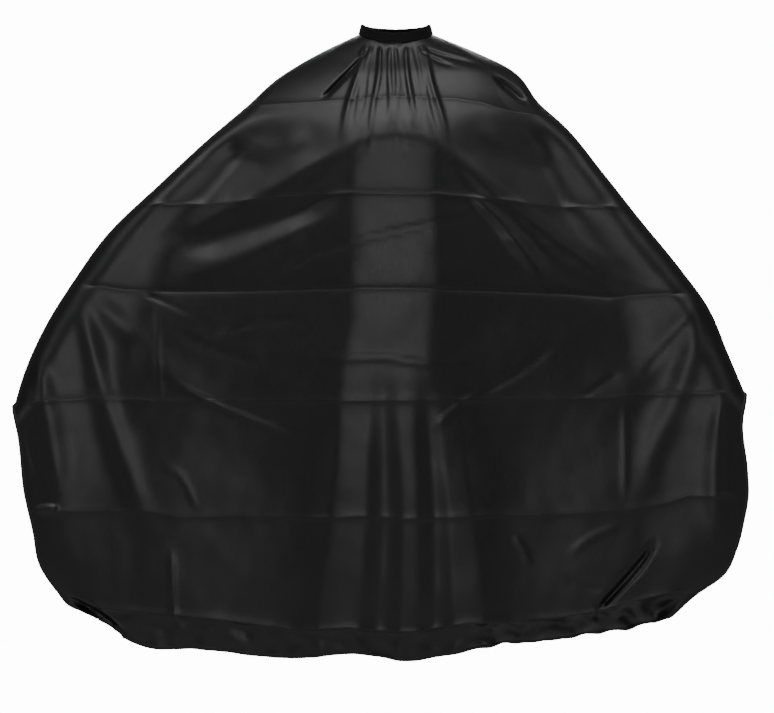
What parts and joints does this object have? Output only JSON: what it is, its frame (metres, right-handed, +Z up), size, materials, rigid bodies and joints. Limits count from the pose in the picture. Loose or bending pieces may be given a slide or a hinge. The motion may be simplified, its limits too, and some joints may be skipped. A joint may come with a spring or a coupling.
{
  "type": "barber cape",
  "caption": "Gathered cutting cape with elastic neckband, back slit and hook-and-loop tab, draped as worn with arms out.",
  "frame": {"origin": "centre of the neck opening, at the middle of the neckband's height at the sides and nape", "axes": "+Z up, the front of the cape faces -Y, +X across the shoulders"},
  "size_m": [1.3029, 0.301, 1.1313],
  "materials": {
    "cape_cloth": "satin-faced woven polyester",
    "edge_binding": "narrow rolled binding",
    "band_tape": "matte ribbed tape",
    "elastic": "braided elastic",
    "loop_pile": "loop pile",
    "hook_plastic": "moulded hooks"
  },
  "bodies": {
    "root": {"cloth_front": "cape_cloth", "cloth_back_left": "cape_cloth", "cloth_back_right": "cape_cloth", "hem_front": "edge_binding", "hem_back_left": "edge_binding", "hem_back_right": "edge_binding", "hem_slit_left": "edge_binding", "hem_slit_right": "edge_binding", "neckband_lining": "band_tape", "neckband_elastic": "elastic", "neckband_outer": "band_tape", "loop_strip": "loop_pile", "tab_anchor": "band_tape"},
    "closure_tab": {"tab_outer": "band_tape", "tab_lining": "band_tape", "hook_strip": "hook_plastic"}
  },
  "joints": [
    {"name": "tab_peel", "type": "hinge", "parent": "root", "child": "closure_tab", "pos_m": [-0.00465, 0.07074, 0.003], "axis": [0.018, -0.267, 0.9635], "range_deg": [0, 110]}
  ]
}
